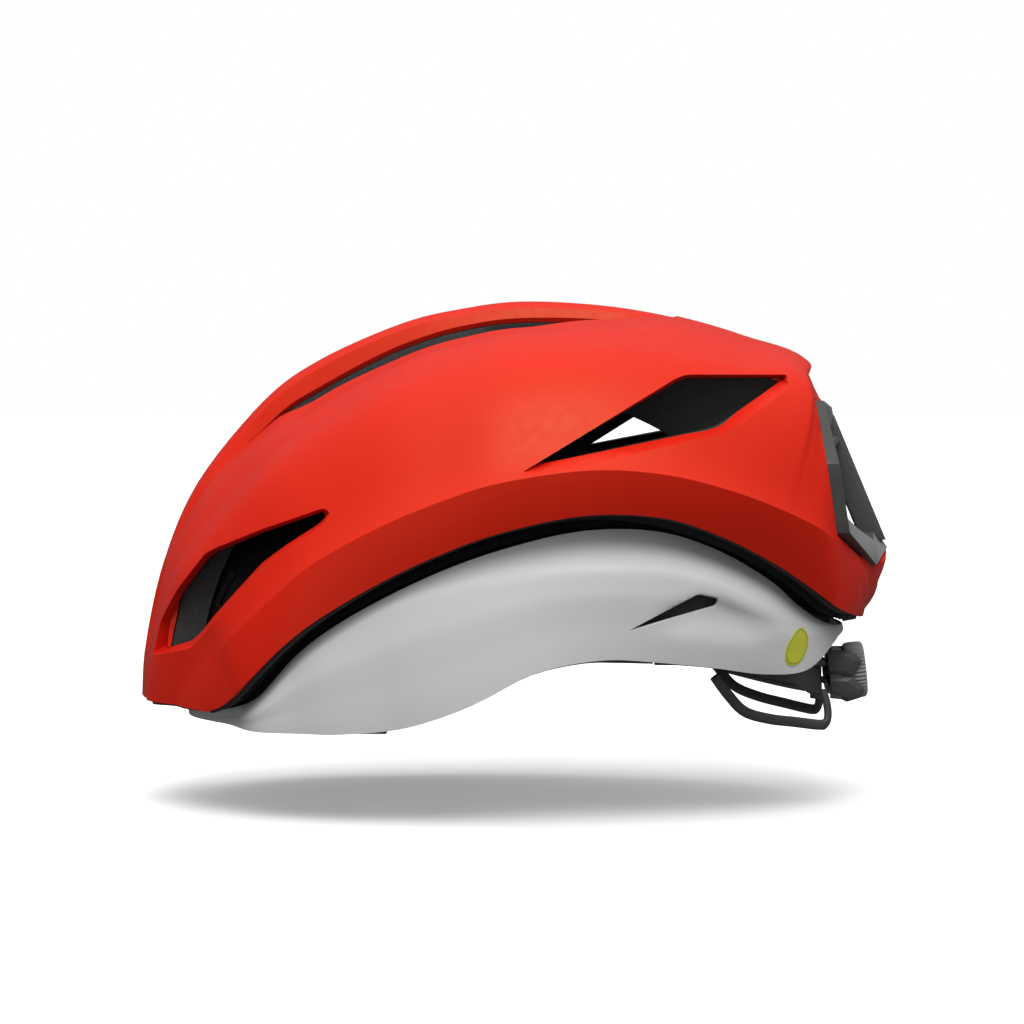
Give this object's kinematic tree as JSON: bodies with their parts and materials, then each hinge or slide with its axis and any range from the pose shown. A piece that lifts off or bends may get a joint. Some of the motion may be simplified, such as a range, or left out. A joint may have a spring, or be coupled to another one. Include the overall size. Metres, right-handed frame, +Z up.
{
  "type": "cycling helmet",
  "caption": "Aero road cycling helmet: a vented outer shell slips on a ball-shaped inner shell, with a dial-fit cradle hung at the nape.",
  "frame": {"origin": "under the middle of the helmet, on the surface that it stands on", "axes": "+Z up, front of the helmet towards -Y, the wearer's left towards +X"},
  "size_m": [0.208, 0.2788, 0.1553],
  "materials": {
    "red_shell": "satin",
    "black_foam": "moulded bead foam",
    "black_ball": "smooth",
    "grey_shell": "satin",
    "inner_foam": "moulded bead foam",
    "charcoal_plastic": "fine moulded texture",
    "steel_pin": "turned",
    "rubber": "moulded",
    "dial_rubber": "ribbed",
    "pad_fabric": "brushed knit",
    "label_film": "printed film"
  },
  "bodies": {
    "root": {"inner_liner": "inner_foam", "ball_shell": "black_ball", "lower_shell": "grey_shell", "elastomer_front_left": "rubber", "elastomer_front_right": "rubber", "elastomer_rear_left": "rubber", "elastomer_rear_right": "rubber", "strap_anchor_front_left": "charcoal_plastic", "strap_anchor_front_right": "charcoal_plastic", "strap_anchor_rear_left": "charcoal_plastic", "strap_anchor_rear_right": "charcoal_plastic", "brow_pad": "pad_fabric", "centre_pad": "pad_fabric", "side_pad_left": "pad_fabric", "side_pad_right": "pad_fabric", "crown_pad_left": "pad_fabric", "crown_pad_right": "pad_fabric", "rear_pad_left": "pad_fabric", "rear_pad_right": "pad_fabric", "blank_label_left": "label_film", "blank_label_right": "label_film", "temple_socket_left": "charcoal_plastic", "temple_socket_right": "charcoal_plastic", "hanger_track": "charcoal_plastic"},
    "outer": {"outer_shell": "red_shell", "outer_liner": "black_foam", "rear_port_bezel": "charcoal_plastic", "rear_spine": "charcoal_plastic"},
    "temple_swivels": {"temple_pin_left": "steel_pin", "temple_pin_right": "steel_pin", "temple_plate_left": "charcoal_plastic", "temple_plate_right": "charcoal_plastic"},
    "cradle": {"cradle_arm_left": "charcoal_plastic", "cradle_arm_right": "charcoal_plastic", "occipital_pad_left": "pad_fabric", "occipital_pad_right": "pad_fabric", "wing_loop_left": "charcoal_plastic", "wing_loop_right": "charcoal_plastic", "cradle_base": "charcoal_plastic", "dial_cover": "charcoal_plastic", "hanger_fork_left": "charcoal_plastic", "hanger_fork_right": "charcoal_plastic"},
    "dial": {"dial": "dial_rubber", "dial_axle": "steel_pin", "pinion": "charcoal_plastic"},
    "belt_left": {"belt_left": "charcoal_plastic"},
    "belt_right": {"belt_right": "charcoal_plastic"},
    "hanger": {"hanger_strip": "charcoal_plastic", "hanger_slider": "charcoal_plastic"}
  },
  "joints": [
    {"name": "slip_pitch", "type": "hinge", "parent": "root", "child": "outer", "pos_m": [0, 0.002, 0.012], "axis": [1, 0, 0], "range_deg": [-1.2, 0.5], "stiffness_Nm_per_rad": 4},
    {"name": "height_tilt", "type": "hinge", "parent": "root", "child": "temple_swivels", "pos_m": [0, 0.04, 0.04], "axis": [1, 0, 0], "range_deg": [-7, 0]},
    {"name": "fit_slide", "type": "slide", "parent": "temple_swivels", "child": "cradle", "axis": [0, -0.9563, 0.2924], "range_m": [0, 0.011]},
    {"name": "dial_spin", "type": "hinge", "parent": "cradle", "child": "dial", "pos_m": [0, 0.12864, 0.01712], "axis": [0, 0.9945, 0.1045], "range_deg": [-243, 1]},
    {"name": "belt_left_wrap", "type": "hinge", "parent": "cradle", "child": "belt_left", "pos_m": [0, 0.05106, 0.03647], "axis": [0, 0.2924, 0.9563], "range_deg": [-0.5, 10]},
    {"name": "belt_right_wrap", "type": "hinge", "parent": "cradle", "child": "belt_right", "pos_m": [0, 0.05106, 0.03647], "axis": [0, 0.2924, 0.9563], "range_deg": [-10, 0.5]},
    {"name": "hanger_swing", "type": "hinge", "parent": "cradle", "child": "hanger", "pos_m": [0, 0.1095, 0.0215], "axis": [1, 0, 0], "range_deg": [-7, 0.5]}
  ],
  "couplings": [
    {"joint": "dial_spin", "follows": "fit_slide", "rad_per_m": -384.62},
    {"joint": "belt_left_wrap", "follows": "fit_slide", "rad_per_m": 14.286},
    {"joint": "belt_right_wrap", "follows": "fit_slide", "rad_per_m": -14.286},
    {"joint": "hanger_swing", "follows": "fit_slide", "rad_per_m": -8.9}
  ]
}
